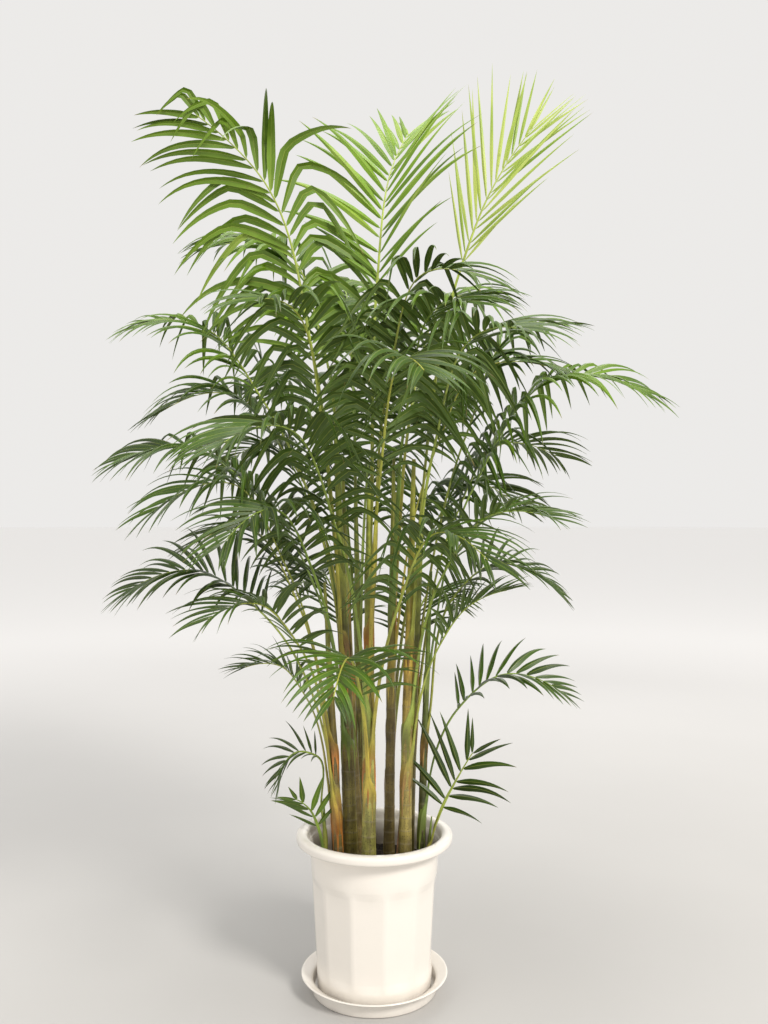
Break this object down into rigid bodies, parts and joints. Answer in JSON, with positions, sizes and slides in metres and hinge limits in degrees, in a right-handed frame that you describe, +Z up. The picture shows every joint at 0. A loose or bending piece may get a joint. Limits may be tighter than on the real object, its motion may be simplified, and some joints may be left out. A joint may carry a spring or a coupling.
{
  "type": "potted palm",
  "caption": "Clump-forming palm with arching feather-shaped fronds on slender canes, growing in a round white plastic pot with flat side panels on a saucer.",
  "frame": {"origin": "middle of the saucer's underside, on the surface the pot stands on", "axes": "+Z up along the pot; -Y is the front; +X is to the right seen from the front"},
  "size_m": [1.1697, 1.0339, 1.8167],
  "materials": {
    "saucer_plastic": "smooth moulded white plastic, soft gloss",
    "pot_plastic": "smooth moulded white plastic, glossy, flat side panels",
    "soil": "dark brown crumbly potting soil",
    "cane": "smooth ringed stem, olive to golden green, waxy",
    "dry_stalk": "dry, matt, pinkish brown",
    "leaf": "satin green leaflets, folded along the midrib, golden green stalk",
    "young_leaf": "pale yellow-green young leaflets, satin"
  },
  "bodies": {
    "root": {"saucer": "saucer_plastic", "pot": "pot_plastic", "soil": "soil", "cane_1": "cane", "cane_2": "cane", "cane_3": "cane", "cane_4": "cane", "cane_5": "cane", "cane_6": "cane", "cane_7": "cane", "cane_8": "cane", "cane_9": "cane", "cane_10": "cane", "cane_11": "cane", "shoot_right": "cane", "shoot_left": "cane", "dry_stalk": "dry_stalk", "frond_1": "leaf", "frond_2": "leaf", "frond_3": "young_leaf", "frond_4": "leaf", "frond_5": "leaf", "frond_6": "leaf", "frond_7": "leaf", "frond_8": "leaf", "frond_9": "leaf", "frond_10": "leaf", "frond_11": "leaf", "frond_12": "leaf", "frond_13": "leaf", "frond_14": "leaf", "frond_15": "leaf", "frond_16": "leaf", "frond_17": "leaf", "frond_18": "leaf", "frond_19": "leaf", "frond_20": "leaf", "frond_21": "leaf", "frond_22": "leaf", "frond_23": "leaf", "frond_24": "leaf", "frond_25": "leaf", "frond_26": "leaf", "frond_27": "leaf", "frond_28": "leaf", "frond_29": "leaf", "frond_30": "leaf", "frond_31": "leaf", "frond_32": "leaf", "frond_33": "leaf", "frond_34": "leaf", "frond_35": "leaf", "frond_36": "leaf", "frond_37": "leaf", "frond_38": "leaf", "frond_39": "leaf", "frond_40": "leaf", "frond_41": "leaf"}
  },
  "joints": []
}
